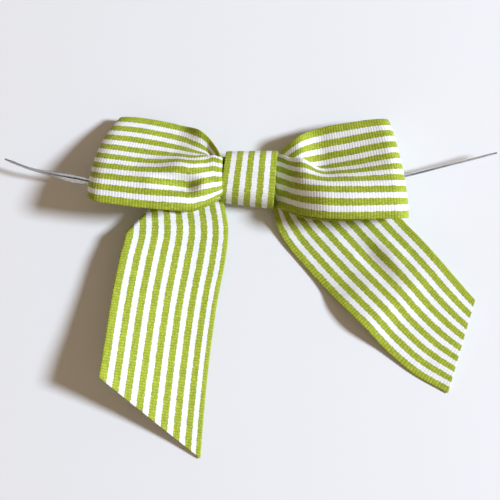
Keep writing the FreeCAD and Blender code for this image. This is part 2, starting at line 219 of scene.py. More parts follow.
# The ribbon's yarn colours, from the painted shade to the painted highlight of a float, a range that
# each float's own random tone also spans; how the stripes' borders wander, in mm; and how much the
# yarns' random tone, the painted highlight on their crowns with painted shade in the valleys between,
# and a slow cloudiness change its lightness.
GREEN_SHADED = (0.155, 0.245, 0.003)
GREEN_LIT = (0.555, 0.59, 0.06)
WHITE_SHADED = (0.82, 0.83, 0.84)
WHITE_LIT = (0.93, 0.93, 0.93)
STRIPE_WANDER = 0.08
WANDER_SCALE = 1.6
SELVEDGE_MARGIN = 0.4
YARN_VARIES = 0.45
CROWN_PAINTED_HIGHLIGHT = 0.6
CLOUD_DEPTH = 0.24
CLOUD_SCALE = 0.35
RIBBON_ROUGHNESS = 0.78
CROWN_SMOOTHER = 0.12
BUMP_HEIGHT = 0.00005
RIBBON_BUMP = 0.6
YARN_BUMP = 0.15
RIBBON_SHEEN = 0.06
SHEEN_ROUGHNESS = 0.4
RIBBON_SPECULAR = 0.25

# The tie's clear film and its wire.
FILM_SHADED = (0.3, 0.32, 0.35)
FILM_LIT = (0.46, 0.48, 0.52)
FILM_ROUGHNESS = 0.3
FILM_CLEAR = 0.85
FILM_INDEX = 1.5
METAL_SHARE = 0.85
METAL_SHADED = 0.75
METAL_LIT = 1.2
UNEVEN_GLOSS = 0.2


def new_material(name):
    """An empty material, its node tree and its shader."""
    material = bpy.data.materials.new(name)
    material.use_nodes = True
    shader = material.node_tree.nodes["Principled BSDF"]
    return material, material.node_tree, shader


def math_node(tree, kind, first, second=0.0, third=0.0):
    """The result of one Math node; each input is a socket or a number."""
    node = tree.nodes.new("ShaderNodeMath")
    node.operation = kind
    for socket, value in zip(node.inputs, (first, second, third)):
        if isinstance(value, (int, float)):
            socket.default_value = value
        else:
            tree.links.new(value, socket)
    return node.outputs[0]


def mixed(tree, share, first, second, kind="MIX"):
    """Two colours mixed; each input is a socket, a number or a colour."""
    node = tree.nodes.new("ShaderNodeMix")
    node.data_type = "RGBA"
    node.blend_type = kind
    for socket, value in ((node.inputs[0], share), (node.inputs[6], first), (node.inputs[7], second)):
        if isinstance(value, (int, float)):
            socket.default_value = value
        elif isinstance(value, tuple):
            socket.default_value = (*value, 1.0)
        else:
            tree.links.new(value, socket)
    return node.outputs[2]


def noise_at(tree, vector, scale, detail=2.0):
    """Cloudy noise from 0 to 1."""
    node = tree.nodes.new("ShaderNodeTexNoise")
    node.inputs["Scale"].default_value = scale
    node.inputs["Detail"].default_value = detail
    tree.links.new(vector, node.inputs["Vector"])
    return node.outputs[0]


def bumpy(tree, shader, height, strength=1.0):
    """Fine relief on a shader."""
    bump = tree.nodes.new("ShaderNodeBump")
    bump.inputs["Distance"].default_value = BUMP_HEIGHT
    bump.inputs["Strength"].default_value = strength
    tree.links.new(height, bump.inputs["Height"])
    tree.links.new(bump.outputs[0], shader.inputs["Normal"])


def arch(tree, place):
    """0 at every whole number and 1 halfway between, rounded on top."""
    part = math_node(tree, "FRACT", place)
    beside = math_node(tree, "ABSOLUTE", math_node(tree, "MULTIPLY_ADD", part, 2.0, -1.0))
    return math_node(tree, "SUBTRACT", 1.0, math_node(tree, "POWER", beside, 2.0))


def white_stripes(tree, weave, yarn, odd):
    """1 on the floats whose middle lies in a white stripe, and 0 on the others."""
    wander = noise_at(tree, weave, WANDER_SCALE, detail=3.0)
    wander = math_node(tree, "MULTIPLY_ADD", wander, 2.0 * STRIPE_WANDER, -STRIPE_WANDER)
    middle = math_node(tree, "ADD", yarn, math_node(tree, "MULTIPLY_ADD", odd, -0.5, 0.5))
    middle = math_node(tree, "MULTIPLY_ADD", middle, FLOAT_WIDTH, wander)
    middle = math_node(tree, "MAXIMUM", middle, SELVEDGE_MARGIN)
    middle = math_node(tree, "MINIMUM", middle, RIBBON_WIDTH - SELVEDGE_MARGIN)
    beyond_edge = math_node(tree, "ADD", middle, -EDGE_STRIPE)
    stripe = math_node(tree, "FRACT", math_node(tree, "DIVIDE", beyond_edge, STRIPE_REPEAT))
    return math_node(tree, "LESS_THAN", stripe, WHITE_STRIPE / STRIPE_REPEAT)


def each_float(tree, yarn, rib):
    """A chance value from 0 to 1 for each float of yarn."""
    key = tree.nodes.new("ShaderNodeCombineXYZ")
    tree.links.new(yarn, key.inputs[0])
    tree.links.new(rib, key.inputs[1])
    chance = tree.nodes.new("ShaderNodeTexWhiteNoise")
    tree.links.new(key.outputs[0], chance.inputs["Vector"])
    return chance.outputs["Value"]


def grosgrain_material():
    """Warp floats in brick order on the ribs; each float has the colour of the stripe it is in, with a
    painted highlight on its crown.
    """
    material, tree, shader = new_material("striped_grosgrain")
    cloth = tree.nodes.new("ShaderNodeAttribute")
    cloth.attribute_name = "cloth"
    weave = cloth.outputs["Vector"]
    parts = tree.nodes.new("ShaderNodeSeparateXYZ")
    tree.links.new(weave, parts.inputs[0])

    rib_place = math_node(tree, "DIVIDE", parts.outputs[0], RIB_PITCH)
    rib = math_node(tree, "FLOOR", rib_place)
    half_rib = math_node(tree, "FRACT", math_node(tree, "MULTIPLY", rib, 0.5))
    odd = math_node(tree, "MULTIPLY", half_rib, 2.0)
    float_place = math_node(tree, "DIVIDE", parts.outputs[1], FLOAT_WIDTH)
    float_place = math_node(tree, "MULTIPLY_ADD", odd, 0.5, float_place)
    yarn = math_node(tree, "FLOOR", float_place)
    white = white_stripes(tree, weave, yarn, odd)
    chance = each_float(tree, yarn, rib)
    crown = math_node(tree, "MULTIPLY", arch(tree, float_place), arch(tree, rib_place))

    # Painted light: each float is lighter on its crown and darker in the valleys round it, a painted
    # highlight and painted shade; each float's own random tone is added to it.
    lit = math_node(tree, "MULTIPLY", crown, CROWN_PAINTED_HIGHLIGHT)
    lit = math_node(tree, "MULTIPLY_ADD", chance, YARN_VARIES, lit)
    green = mixed(tree, lit, GREEN_SHADED, GREEN_LIT)
    pale = mixed(tree, lit, WHITE_SHADED, WHITE_LIT)
    cloudy = noise_at(tree, weave, CLOUD_SCALE)
    shade = math_node(tree, "MULTIPLY_ADD", cloudy, CLOUD_DEPTH, 1.0 - 0.5 * CLOUD_DEPTH)
    grey = tree.nodes.new("ShaderNodeCombineColor")
    for socket in grey.inputs:
        tree.links.new(shade, socket)
    colour = mixed(tree, 1.0, mixed(tree, white, green, pale), grey.outputs[0], "MULTIPLY")
    tree.links.new(colour, shader.inputs["Base Color"])
    rough = math_node(tree, "MULTIPLY_ADD", crown, -CROWN_SMOOTHER, RIBBON_ROUGHNESS)
    tree.links.new(rough, shader.inputs["Roughness"])
    bumpy(tree, shader, math_node(tree, "MULTIPLY_ADD", chance, YARN_BUMP, crown), RIBBON_BUMP)
    shader.inputs["Sheen Weight"].default_value = RIBBON_SHEEN
    shader.inputs["Sheen Roughness"].default_value = SHEEN_ROUGHNESS
    shader.inputs["Specular IOR Level"].default_value = RIBBON_SPECULAR
    return material


def speckled(name, shaded, lit, scale, detail):
    """A material whose colour follows fine noise, with that noise, its node tree and its shader."""
    material, tree, shader = new_material(name)
    place = tree.nodes.new("ShaderNodeTexCoord")
    speck = noise_at(tree, place.outputs["Object"], scale, detail)
    tree.links.new(mixed(tree, speck, shaded, lit), shader.inputs["Base Color"])
    return material, speck, tree, shader


def brushed_metal(name, colour, roughness):
    """Dull drawn wire."""
    shaded = tuple(METAL_SHADED * c for c in colour)
    lit = tuple(min(1.0, METAL_LIT * c) for c in colour)
    material, speck, tree, shader = speckled(name, shaded, lit, 4000.0, 3.0)
    rough = math_node(tree, "MULTIPLY_ADD", speck, UNEVEN_GLOSS, roughness - 0.5 * UNEVEN_GLOSS)
    tree.links.new(rough, shader.inputs["Roughness"])
    shader.inputs["Metallic"].default_value = METAL_SHARE
    return material


def film_material():
    """Clear, faintly grey plastic with a slightly uneven gloss."""
    material, cloudy, tree, shader = speckled("tie_film_clear", FILM_SHADED, FILM_LIT, 900.0, 3.0)
    rough = math_node(tree, "MULTIPLY_ADD", cloudy, UNEVEN_GLOSS, FILM_ROUGHNESS)
    tree.links.new(rough, shader.inputs["Roughness"])
    shader.inputs["Transmission Weight"].default_value = FILM_CLEAR
    shader.inputs["IOR"].default_value = FILM_INDEX
    return material


def rough_speckled(name, shaded, lit, scale, roughness):
    """A matt, finely uneven surface of one roughness."""
    material, speck, tree, shader = speckled(name, shaded, lit, scale, 4.0)
    bumpy(tree, shader, speck)
    shader.inputs["Roughness"].default_value = roughness
    return material


# ---------------------------------------------------------------- loops

# Each loop, in mm from the knot, with x outward and y away from the tails. Stages and knots are shares
# of the way from the band to the outer end, and SHARES are shares of the way across the ribbon, from
# its bottom edge, which is the one towards the tails.
# end: how far out the outer end lies, for a share across.
# top_edge, bottom_edge: the loop's outline in y. back_shift: how much higher the back layer's bottom
# edge lies at the outer end. crest: the height of the front layer's bottom edge.
# slopes: how steeply the ribbon falls across its width, in degrees, one row for each of STAGES.
# pleat: the fold that tucks the upper stripes behind the lower ones where the knot gathers them. It
# starts pleat_at mm across, turns by pleat_turn degrees over pleat_bend mm, and turns back pleat_gap mm
# further on.
# dimple: where it starts outward and how long it is, where it lies across, how wide and how deep, with
# a depth of 0 for none.
STAGES = (0.0, 0.1, 0.2, 0.32, 0.52, 1.0)
SHARES = (0.0, 0.15, 0.3, 0.42, 0.55, 0.66, 0.72, 0.85, 1.0)
LOOPS = {
    "left": {
        "end": lambda u: 31.8 - 1.5 * u - 4.6 * u**2.5,
        "edge_knots": (0.0, 0.06, 0.11, 0.16, 0.21, 0.31, 0.41, 0.6, 0.8, 1.0),
        "top_edge": (3.7, 6.0, 7.6, 8.7, 9.5, 10.6, 11.25, 12.1, 12.7, 13.0),
        "bottom_edge": (-4.2, -5.3, -6.1, -6.7, -7.2, -7.5, -7.5, -7.1, -6.4, -5.6),
        "back_shift": 2.8,
        "crest_knots": (0.0, 0.16, 0.33, 0.55, 0.8, 1.0),
        "crest": (8.4, 9.6, 10.7, 11.1, 11.1, 10.8),
        "slopes": (
            (-66, -40, 0, 15, 30, 15, 0, -10, -10),
            (-64, -20, 12, 36, 50, 74, 72, 45, -28),
            (-52, -14, 5, 36, 56, 64, 60, 30, -30),
            (-32, -6, 4, 36, 57, 50, 42, 28, 20),
            (-14, 8, 14, 36, 38, 29, 29, 28, 24),
            (4, 12, 18, 22, 24, 24, 24, 26, 28),
        ),
        "pleat_at": 11.9,
        "pleat_turn": (160, 98, 24, 0, 0, 0, 0),
        "pleat_gap": (4.6, 3.8, 3.4, 3.0, 3.0, 3.0, 3.0),
        "pleat_bend": 1.4,
        "dimple": (8.6, 3.8, 5.5, 2.0, 3.2),
    },
    "right": {
        "end": lambda u: 31.3 - 0.9 * u - 2.6 * u**2,
        "edge_knots": (0.0, 0.06, 0.11, 0.16, 0.21, 0.31, 0.41, 0.6, 0.8, 1.0),
        "top_edge": (4.8, 6.2, 7.05, 7.8, 8.6, 9.9, 10.5, 11.1, 11.65, 11.9),
        "bottom_edge": (-5.6, -6.3, -7.0, -7.6, -8.1, -8.7, -9.1, -9.3, -9.25, -9.1),
        "back_shift": 1.4,
        "crest_knots": (0.0, 0.07, 0.16, 0.3, 0.5, 0.8, 1.0),
        "crest": (3.3, 5.4, 7.5, 9.4, 10.4, 10.7, 10.7),
        "slopes": (
            (0, 0, 4, 24, 48, 0, 0, 0, 0),
            (-10, 0, 2, 24, 44, 20, 15, 10, 10),
            (-32, 0, 2, 24, 32, 25, 20, 12, 10),
            (-50, -2, 24, 46, 51, 25, 15, 7, 0),
            (-50, 0, 24, 46, 48, 25, 14, 6, 0),
            (-30, 4, 10, 16, 20, 15, 15, 20, 22),
        ),
        "pleat_at": 12.5,
        "pleat_turn": (172, 170, 166, 145, 30, 0, 0),
        "pleat_gap": (5.0, 3.9, 2.9, 1.8, 1.0, 1.0, 1.0),
        "pleat_bend": 1.0,
        "dimple": (9.5, 3.2, 4.8, 2.4, 0.0),
    },
}
PLEAT_STAGES = (0.0, 0.05, 0.1, 0.2, 0.36, 0.55, 1.0)

# The loop's path: the back layer's height as a share of the front's, away from the knot and at it, the
# outer turn's radius, and the share across whose reach stands for the whole end.
BACK_SHARE = 0.45
BACK_SHARE_AT_KNOT = 0.68
BACK_RISES_OVER = 9.0
END_RADIUS = 2.7
END_SHARE = 0.3
TURN_STEPS = 60
RUN_STEPS = 200

# Inside the band the layers are gathered, and further in packed, into these outlines.
KNOT_HALF = 4.0
KNOT_FRONT = 5.7
KNOT_BOTTOM = -2.6
KNOT_PACKED_FRONT = 7.0
KNOT_PACKED_BOTTOM = -3.4
GATHER_STARTS = 0.3
GATHER_RUN = 1.2
PACKED_STARTS = -0.8
PACKED_RUN = 1.0
KNOT_SQUEEZE = 0.25
SQUEEZE_STAGE = 0.42
LOWEST_MIDDLE = 1.1

# The pleat is in the front layer: it fades where the path sinks from it. The columns lie closer
# together round it, and the dimple keeps its depth for a while before it fades.
PLEAT_LEVEL = 0.6
PLEAT_LEVEL_RUN = 0.3
PLEAT_COLUMNS_AT = 2.0
DIMPLE_HOLDS = 1.1
DIMPLE_FADES = 2.0


def loop_route(shape):
    """The loop's path: how far out, and how high as a share of the front layer, with its length."""
    reach = shape["end"](END_SHARE)
    centre = reach - END_RADIUS
    angle = np.linspace(0.5 * math.pi, -0.5 * math.pi, TURN_STEPS)
    half = 0.5 * (1.0 - BACK_SHARE)
    front = np.linspace(0.0, centre, RUN_STEPS)[:-1]
    back = np.linspace(centre, 0.0, RUN_STEPS)[1:]
    out = np.concatenate([front, centre + END_RADIUS * np.cos(angle), back])
    nearness = smooth(1.0 - (back - BAND_EDGE) / BACK_RISES_OVER)
    behind = BACK_SHARE + (BACK_SHARE_AT_KNOT - BACK_SHARE) * nearness
    level = np.concatenate([np.ones(len(front)), 1.0 - half + half * np.sin(angle), behind])
    place = np.clip((out - BAND_EDGE) / (reach - BAND_EDGE), 0.0, 1.0)
    height = level * through(shape["crest_knots"], shape["crest"], place)
    return out, level, reach, chords(np.stack([out, height], -1))


def across_table(table, place, share):
    """Values from a table whose rows lie at STAGES and whose columns lie at SHARES."""
    by_stage = through(STAGES, np.array(table, float), place)
    return through(SHARES, by_stage.T, share).T


def loop_section(shape, place, level, across):
    """Each row's section: run is the share of its width in y, and rise its height in mm."""
    start = shape["pleat_at"]
    bend = shape["pleat_bend"]
    gap = through(PLEAT_STAGES, shape["pleat_gap"], place)
    on_front = smooth((level - PLEAT_LEVEL) / PLEAT_LEVEL_RUN)
    turn = np.radians(through(PLEAT_STAGES, shape["pleat_turn"], place)) * on_front
    turned = smooth((across[None, :] - start) / bend)
    turned_back = smooth((across[None, :] - start - gap[:, None]) / bend)
    slope = -np.radians(across_table(shape["slopes"], place, across / RIBBON_WIDTH))
    slope = slope - turn[:, None] * (turned - turned_back)
    steps = np.diff(across)[None, :]
    between = 0.5 * (slope[:, 1:] + slope[:, :-1])
    zero = np.zeros((len(place), 1))
    run = np.concatenate([zero, np.cumsum(np.cos(between) * steps, 1)], 1)
    rise = np.concatenate([zero, np.cumsum(np.sin(between) * steps, 1)], 1)
    return run / run[:, -1:], rise


def dimple_depth(shape, out, across):
    """How deep the dimple in the front layer is at each point."""
    first, length, middle, spread, depth = shape["dimple"]
    fade = smooth((out - first - DIMPLE_HOLDS * length) / (DIMPLE_FADES * length))
    along = smooth((out - first) / length) * (1.0 - fade)
    return depth * along[:, None] * bell(across, middle, spread)[None, :]


def loop_middle(shape):
    """The loop's middle surface, with how far each point lies along and across the ribbon."""
    out, level, reach, lengths = loop_route(shape)
    rows = rib_rows(lengths[-1])
    scale = lengths[-1] / rows[-1]
    out = np.interp(rows * scale, lengths, out)
    level = np.interp(rows * scale, lengths, level)
    across = cross_columns(RIBBON_WIDTH, shape["pleat_at"] + PLEAT_COLUMNS_AT)
    place = np.clip((out - BAND_EDGE) / (reach - BAND_EDGE), 0.0, 1.0)
    run, rise = loop_section(shape, place, level, across)

    gathered = smooth((BAND_EDGE + GATHER_STARTS - out) / GATHER_RUN)
    behind = (1.0 - level) / (1.0 - BACK_SHARE)
    top = through(shape["edge_knots"], shape["top_edge"], place)
    bottom = through(shape["edge_knots"], shape["bottom_edge"], place)
    bottom = bottom + shape["back_shift"] * behind * place
    top = top + gathered * (KNOT_HALF - top)
    bottom = bottom + gathered * (KNOT_BOTTOM - bottom)
    y = bottom[:, None] + (top - bottom)[:, None] * run

    squeeze = KNOT_SQUEEZE + (1.0 - KNOT_SQUEEZE) * smooth(place / SQUEEZE_STAGE)
    height = through(shape["crest_knots"], shape["crest"], place)[:, None] + rise * squeeze[:, None]
    height = height - dimple_depth(shape, out, across)
    height = height + gathered[:, None] * (np.minimum(height, KNOT_FRONT) - height)

    packed = smooth((BAND_EDGE + PACKED_STARTS - out) / PACKED_RUN)[:, None]
    height = height + packed * (KNOT_PACKED_FRONT - height)
    y = y + packed * (KNOT_PACKED_BOTTOM + (KNOT_HALF - KNOT_PACKED_BOTTOM) * run - y)
    z = np.maximum(height, LOWEST_MIDDLE) * level[:, None]

    lean = (shape["end"](across / RIBBON_WIDTH) - BAND_EDGE)[None, :] / (reach - BAND_EDGE)
    out = out[:, None]
    x = np.where(out > BAND_EDGE, BAND_EDGE + (out - BAND_EDGE) * lean, out)
    distance = np.repeat(rows[:, None], len(across), 1)
    return np.stack([x, y, z], -1), distance, np.repeat(across[None, :], len(rows), 0)


def make_loop(name, material):
    """One loop's ribbon, put in place of the CAD loop and waist, which it hides."""
    side = SIDES[name]
    middle, distance, across = loop_middle(LOOPS[name])
    middle[..., 0] *= side
    piece = ribbon_piece(f"{name}_loop_ribbon", middle, distance, across, face=side)
    piece.data.materials.append(material)
    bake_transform(piece)
    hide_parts(f"{name}_loop", "loop_waist")


# ---------------------------------------------------------------- tails

# rulings: straight lines across each tail, inner edge and outer edge, from the knot to past the cut.
# cut: the ends of the cut. hinge: the point by the knot about which the tail could fold back.
# fold: the left tail is turned down by a fold on the line y = x + fold. Its rulings run straight up past
# that line, and what lies beyond it is mirrored into the layer beneath, which runs into the knot.
# curl: over 1, the rise across the tail comes late, towards its outer edge.
# edge_roll: how far the inner edge is drawn in, as a share of the width, and rolled up, in mm.
# ripple: a crease along the tail, by how far along it lies, its length, its share across and its
# height, with 0 for none.
TAILS = {
    "left": {
        "rulings": (
            ((-6.0, 14.0, 3.4), (-26.0, 14.0, 3.4)),
            ((-6.0, 6.0, 3.4), (-26.0, 6.0, 3.4)),
            ((-6.0, -1.0, 3.3), (-25.0, -0.6, 3.6)),
            ((-4.9, -5.4, 2.9), (-24.4, -5.2, 4.0)),
            ((-4.2, -10.4, 2.1), (-24.3, -10.8, 4.5)),
            ((-4.8, -16.0, 1.5), (-25.4, -15.6, 5.2)),
            ((-6.2, -23.3, 1.0), (-26.5, -21.5, 5.8)),
            ((-7.5, -32.2, 0.6), (-27.7, -29.8, 7.0)),
            ((-8.3, -39.2, 0.5), (-28.6, -36.8, 8.2)),
            ((-9.1, -48.0, 0.4), (-29.8, -45.0, 8.6)),
            ((-9.8, -58.0, 0.4), (-31.0, -55.0, 9.0)),
        ),
        "cut": ((-9.6, -55.2), (-29.0, -40.2)),
        "fold": 13.9,
        "curl": 1.4,
        "edge_roll": (0.045, 0.7),
        "ripple": (0.0, 1.0, 0.5, 0.0),
        "hinge": (-10.0, -3.4, 2.9),
    },
    "right": {
        "rulings": (
            ((0.0, -4.1, 2.7), (0.0, 4.1, 2.9)),
            ((4.6, -4.2, 2.7), (5.2, 4.1, 2.9)),
            ((4.9, -6.0, 3.0), (15.0, 1.5, 2.8)),
            ((5.9, -9.8, 1.1), (22.5, -1.2, 3.0)),
            ((7.7, -12.9, 0.6), (25.3, -3.0, 3.05)),
            ((9.9, -15.6, 0.5), (27.6, -5.0, 3.1)),
            ((15.3, -21.7, 1.0), (31.6, -9.3, 3.3)),
            ((19.2, -26.0, 2.6), (34.9, -12.9, 3.8)),
            ((22.6, -29.4, 3.0), (37.6, -16.1, 4.2)),
            ((27.0, -33.8, 1.1), (40.6, -19.6, 3.8)),
            ((32.0, -38.1, 0.4), (43.0, -22.3, 3.2)),
            ((39.3, -42.3, 0.4), (47.5, -27.3, 2.2)),
            ((46.0, -46.0, 0.4), (52.0, -33.0, 1.0)),
        ),
        "cut": ((39.3, -42.3), (44.7, -24.2)),
        "fold": None,
        "curl": 1.0,
        "edge_roll": (0.0, 0.0),
        "ripple": (31.5, 5.0, 0.6, 0.6),
        "hinge": (12.0, -3.4, 2.9),
    },
}

# The fold's turn, the left tail's layer that runs into the knot, and how the tail's top is drawn down
# under the loop.
KNOT_LEVEL = 2.7
FOLD_ROLL = 0.6
KNOT_RUN = 11.0
KNOT_RUN_STARTS = -17.0
DRAWN_DOWN_FROM = -5.0
DRAWN_DOWN_EASE = 2.0

# How wide the ripple and the edge roll are, as shares across, how finely the cut is looked for, and
# how far before the cut the rows start to lean.
RIPPLE_HALF = 0.09
EDGE_ROLL_SHARE = 0.08
CUT_TRIES = 1200
CUT_TRIES_FROM = 0.4
CUT_EASE = 3.0


def folded(points, share, fold):
    """The surface after the fold on y = x + fold, gathered into the knot on the layer beneath."""
    x, y, z = points[..., 0], points[..., 1], points[..., 2]
    past = (y - x - fold) / math.sqrt(2.0)
    beneath = smooth(0.5 + 0.5 * past / FOLD_ROLL)
    over = past > 0
    x, y = np.where(over, y - fold, x), np.where(over, x + fold, y)
    above = np.maximum(y - DRAWN_DOWN_FROM, 0.0)
    y = y - 0.5 * above * above / (above + DRAWN_DOWN_EASE)
    z = z + (KNOT_LEVEL - z) * beneath
    gathered = smooth((x - KNOT_RUN_STARTS) / KNOT_RUN) * over
    y = y + gathered * (KNOT_HALF * (1.0 - 2.0 * share) - y)
    return np.stack([x, y, z], -1)


def tail_surface(shape, distance, share):
    """Points of the tail's middle surface, at distances along it and shares across it."""
    rulings = np.array(shape["rulings"])
    knots = chords(rulings.mean(axis=1))
    inner = through(knots, rulings[:, 0], distance)
    outer = through(knots, rulings[:, 1], distance)
    drawn_in, rolled_up = shape["edge_roll"]
    settled = 1.0 - np.exp(-share / EDGE_ROLL_SHARE)
    moved = share - drawn_in * settled * (1.0 - share)
    points = inner + (outer - inner) * moved[..., None]
    points[..., 2] += (outer - inner)[..., 2] * (share ** shape["curl"] - share)
    points[..., 2] += rolled_up * settled * np.exp(-share / (2.0 * EDGE_ROLL_SHARE))
    ripple_at, ripple_run, ripple_share, ripple_height = shape["ripple"]
    beside = (share - ripple_share) / RIPPLE_HALF
    wave = beside * np.exp(0.5 - 0.5 * beside * beside)
    points[..., 2] += ripple_height * wave * bell(distance, ripple_at, ripple_run)
    if shape["fold"] is None:
        return points
    return folded(points, share, shape["fold"])


def cut_distance(shape, shares, furthest):
    """How far along the tail each of its warp lines meets the cut."""
    first, last = (np.array(p) for p in shape["cut"])
    normal = np.array([last[1] - first[1], first[0] - last[0]])
    tries = np.linspace(CUT_TRIES_FROM * furthest, furthest, CUT_TRIES)
    found = []
    for share in shares:
        points = tail_surface(shape, tries, np.full(len(tries), share))
        beyond = (points[:, :2] - first) @ normal
        if beyond[0] > 0:
            beyond = -beyond
        crossed = np.argmax(beyond > 0) if (beyond > 0).any() else len(tries) - 1
        found.append(tries[crossed])
    return np.array(found)


def tail_distances(rows, cut):
    """Each point's distance along the tail: level rows, then rows that lean over towards the cut."""
    level = cut.min() - CUT_EASE
    beyond = np.clip((rows - level) / (rows[-1] - level), 0.0, 1.0)[:, None]
    return np.where(rows[:, None] < level, rows[:, None], level + beyond * (cut[None, :] - level))


def make_tail(name, material):
    """One tail's ribbon, put in place of the CAD tail and waist, which it hides."""
    shape = TAILS[name]
    furthest = chords(np.array(shape["rulings"]).mean(axis=1))[-1]
    across = cross_columns(RIBBON_WIDTH)
    share = across / RIBBON_WIDTH
    cut = cut_distance(shape, share, furthest)
    rows = rib_rows(cut.max())
    distance = tail_distances(rows, cut)
    middle = tail_surface(shape, distance, np.repeat(share[None, :], len(rows), 0))
    across = np.repeat(across[None, :], len(rows), 0)
    piece = ribbon_piece(f"{name}_tail_ribbon", middle, distance, across, face=-SIDES[name])
    piece.data.materials.append(material)
    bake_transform(piece)
    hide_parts(f"{name}_tail", "tail_waist")


# ---------------------------------------------------------------- centre band

# The band's outline at its left and right edges, as y and z, from the middle of the back round the
# bottom, front and top: the strip sits askew, so its lower side slants down to the right.
BAND_OUTLINES = (
    (
        (0.0, 0.6), (-3.5, 0.7), (-4.2, 2.0), (-4.15, 4.2), (-3.95, 6.1), (-3.5, 7.2), (-2.7, 8.0),
        (-1.5, 8.4), (1.8, 8.5), (4.1, 8.0), (5.05, 6.2), (4.9, 2.0), (3.6, 0.7), (0.0, 0.6),
    ),
    (
        (0.0, 0.6), (-4.6, 0.7), (-5.5, 2.0), (-5.45, 4.2), (-5.25, 6.1), (-4.8, 7.2), (-4.0, 8.0),
        (-2.8, 8.4), (1.8, 8.5), (4.3, 8.0), (5.15, 6.2), (4.9, 2.0), (3.6, 0.7), (0.0, 0.6),
    ),
)
# The band leans and is not centred, its lap lies under its start, and its front swells a little.
BAND_WIDTH = 10.9
BAND_OVERLAP = 2.5
BAND_TRIM = 0.08
BAND_SLANT = 0.11
BAND_MIDDLE = -0.5
LAP_LIFT = 0.5
SWELL_HEIGHT = 0.15
SWELL_STARTS = 1.6
SWELL_RUN = 8.0
# The band's width at its top edge, as a share, and how much of it comes back further down.
TOP_WIDTH = 0.93
TOP_EDGE = 4.5
WIDER_BY = 0.05
WIDER_OVER = 9.0


def make_band(material):
    """A narrow strip wrapped once round the knot, its ends lapped underneath."""
    left, right = (np.array(outline) for outline in BAND_OUTLINES)
    knots = chords(0.5 * (left + right))
    rows = rib_rows(knots[-1] + BAND_OVERLAP)
    wrapped = np.mod(rows, knots[-1])
    across = cross_columns(BAND_WIDTH)
    share = across / BAND_WIDTH
    left_path = through(knots, left, wrapped)[:, None, :]
    right_path = through(knots, right, wrapped)[:, None, :]
    path = left_path + (right_path - left_path) * share[None, :, None]
    y = path[..., 0]
    lapped = LAP_LIFT * smooth(1.0 - rows / (2.0 * BAND_OVERLAP))
    swell = SWELL_HEIGHT * np.sin(np.pi * share)[None, :] * smooth((path[..., 1] - SWELL_STARTS) / SWELL_RUN)
    z = path[..., 1] + lapped[:, None] + swell
    pinch = TOP_WIDTH + WIDER_BY * smooth((TOP_EDGE - y) / WIDER_OVER)
    x = (share[None, :] - 0.5) * BAND_WIDTH * pinch + BAND_SLANT * (y - BAND_MIDDLE)
    middle = np.stack([x, y, z], -1)
    distance = np.repeat(rows[:, None], len(across), 1)
    across = np.repeat(across[None, :], len(rows), 0)
    shift = EDGE_STRIPE + WHITE_STRIPE + BAND_TRIM
    stretch = (5.0 * GREEN_STRIPE + 4.0 * WHITE_STRIPE - 2.0 * BAND_TRIM) / BAND_WIDTH
    piece = ribbon_piece("center_band_ribbon", middle, distance, across, shift=shift, stretch=stretch)
    piece.data.materials.append(material)
    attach(piece, "root")
    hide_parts("center_band")


# ---------------------------------------------------------------- twist tie

TIE_LEVEL = 1.35
WIRE_RADIUS = 0.19
WIRE_SIDES = 10
WIRE_STEPS = 260
WIRE_BARE_STEPS = 6

# The film: two lips, each flat from its edge to LIP_INNER, about a sleeve that holds the wire. It lies
# flat at the knot and stands on edge further out, except for a slight twist back, and near each end its
# lips narrow.
FILM_WIDTH = 2.0
FILM_GAUGE = 0.16
LIP_INNER = 0.45
SLEEVE_HALF = 0.2
SLEEVE_WALL = 0.09
FILM_STANDS = math.radians(82.0)
FILM_STANDS_FROM = 20.0
FILM_STANDS_RUN = 12.0
TWIST_BACK = math.radians(25.0)
TWIST_AT = 35.0
TWIST_REACH = 4.0
LIP_CUT = 0.65
LIP_CUT_RUN = 6.0
FILM_NARROWS = {"left": 40.0, "right": 27.0}
TIE_LEGS = {
    "left": (
        (0.0, 0.0, TIE_LEVEL), (-6.0, 0.0, TIE_LEVEL), (-14.0, -0.5, 1.8), (-22.5, -0.8, 2.4),
        (-31.8, -0.2, 3.0), (-38.6, 1.0, 3.6), (-43.4, 2.1, 3.9), (-48.7, 4.1, 4.1),
    ),
    "right": (
        (0.0, 0.0, TIE_LEVEL), (6.0, 0.0, TIE_LEVEL), (13.0, -0.6, 1.8), (22.0, -0.5, 2.3),
        (31.2, 0.9, 2.8), (35.8, 2.04, 3.1), (42.1, 3.5, 3.6), (49.6, 5.4, 4.1),
    ),
}


def ways_round(path):
    """Along a path of points, the directions along it, sideways and upward."""
    tangent = unit(np.gradient(path, axis=0))
    side_way = unit(np.cross(tangent, np.array([0.0, 0.0, 1.0])))
    return tangent, side_way, np.cross(side_way, tangent)


def swept_piece(name, points, smoothed):
    """A closed mesh from rings of points along a path."""
    rings, count = points.shape[:2]
    index = np.arange(rings * count).reshape(rings, count)
    turned = np.roll(index, -1, axis=1)
    quads = np.stack([index[:-1], turned[:-1], turned[1:], index[1:]], -1).reshape(-1, 4)
    faces = quads.tolist() + [index[0][::-1].tolist(), index[-1].tolist()]
    return mesh_piece(name, points.reshape(-1, 3), faces, smoothed)


def wire_piece(name, path):
    """Round wire along the path."""
    tangent, side_way, up_way = ways_round(path)
    angle = np.linspace(0.0, 2.0 * math.pi, WIRE_SIDES, endpoint=False)
    ring = side_way[:, None, :] * np.cos(angle)[None, :, None]
    ring = ring + up_way[:, None, :] * np.sin(angle)[None, :, None]
    return swept_piece(name, path[:, None, :] + WIRE_RADIUS * ring, True)


